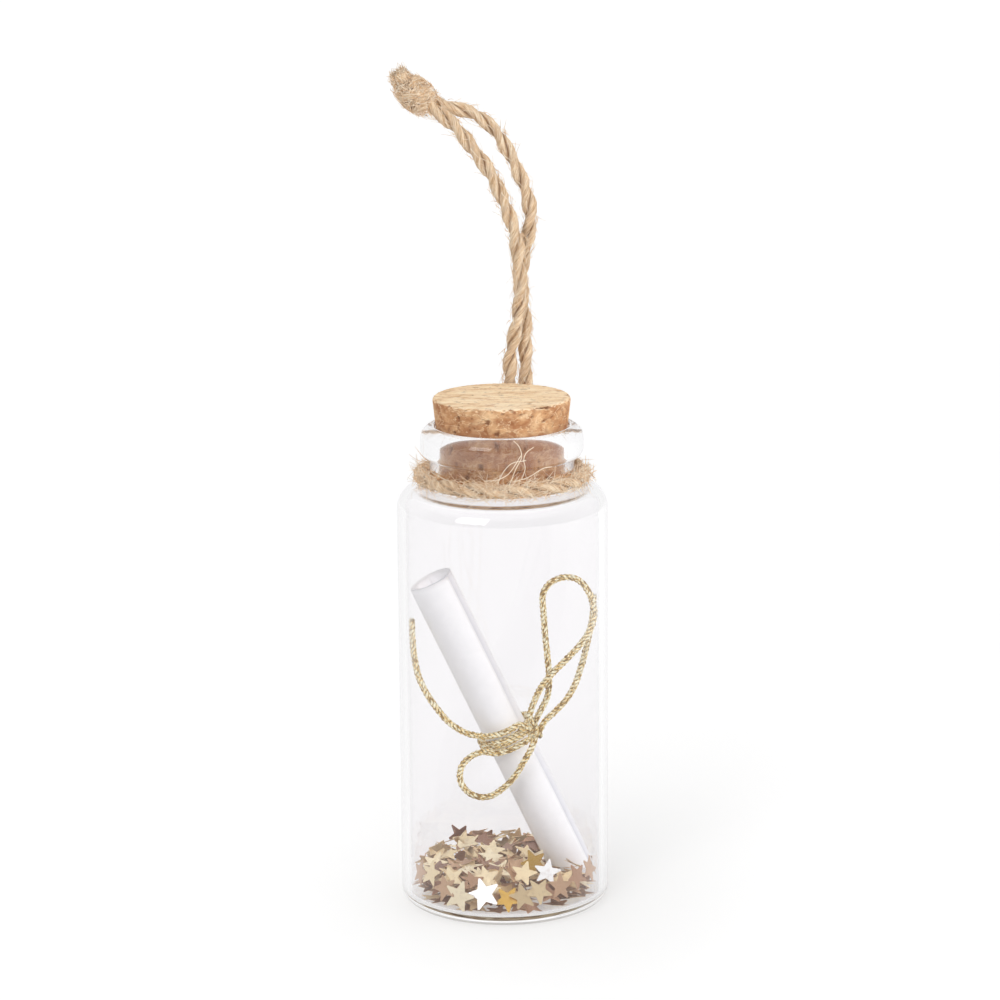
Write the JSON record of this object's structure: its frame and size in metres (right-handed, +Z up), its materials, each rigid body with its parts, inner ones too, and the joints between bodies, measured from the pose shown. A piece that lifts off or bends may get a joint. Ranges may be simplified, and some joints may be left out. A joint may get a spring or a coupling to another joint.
{
  "type": "message in a bottle",
  "caption": "Small corked glass vial on a jute hanging loop, with a rolled paper note tied in gold cord on a bed of star confetti.",
  "frame": {"origin": "centre of the bottle's standing ring, on the surface it stands on", "axes": "+Z up along the bottle's axis, -Y to the front, where the gold bow faces, +X to the viewer's right"},
  "size_m": [0.0311, 0.0305, 0.1206],
  "materials": {
    "glass": "clear, fire-polished flint glass",
    "cork": "natural cork, cut, with brown pits",
    "jute": "two-ply jute twine, hairy",
    "paper": "smooth white writing paper",
    "gold_cord": "twisted metallic gold cord",
    "foil": "gold metallised foil"
  },
  "bodies": {
    "vial": {"bottle": "glass", "neck_band": "jute", "neck_knot": "jute", "stars_bottom": "foil", "stars_lower": "foil", "stars_upper": "foil", "stars_top": "foil", "stars_standing": "foil"},
    "cork": {"cork_stopper": "cork"},
    "hanger": {"loop_leg_left": "jute", "loop_leg_right": "jute", "loop_knot": "jute", "loop_cut_ends": "jute"},
    "message": {"paper_roll": "paper", "gold_wrap": "gold_cord", "gold_knot": "gold_cord", "gold_loop_lower": "gold_cord", "gold_loop_upper": "gold_cord", "gold_tail_left": "gold_cord", "gold_tail_right": "gold_cord"}
  },
  "joints": [
    {"name": "cork_pull", "type": "slide", "parent": "vial", "child": "cork", "axis": [0, 0, 1], "range_m": [0, 0.014]},
    {"name": "loop_fold", "type": "hinge", "parent": "vial", "child": "hanger", "pos_m": [0.0023, 0.0129, 0.0631], "axis": [-1, 0, 0], "range_deg": [0, 120]},
    {"name": "message_lift", "type": "slide", "parent": "vial", "child": "message", "axis": [0, 0, 1], "range_m": [0, 0.006]}
  ]
}
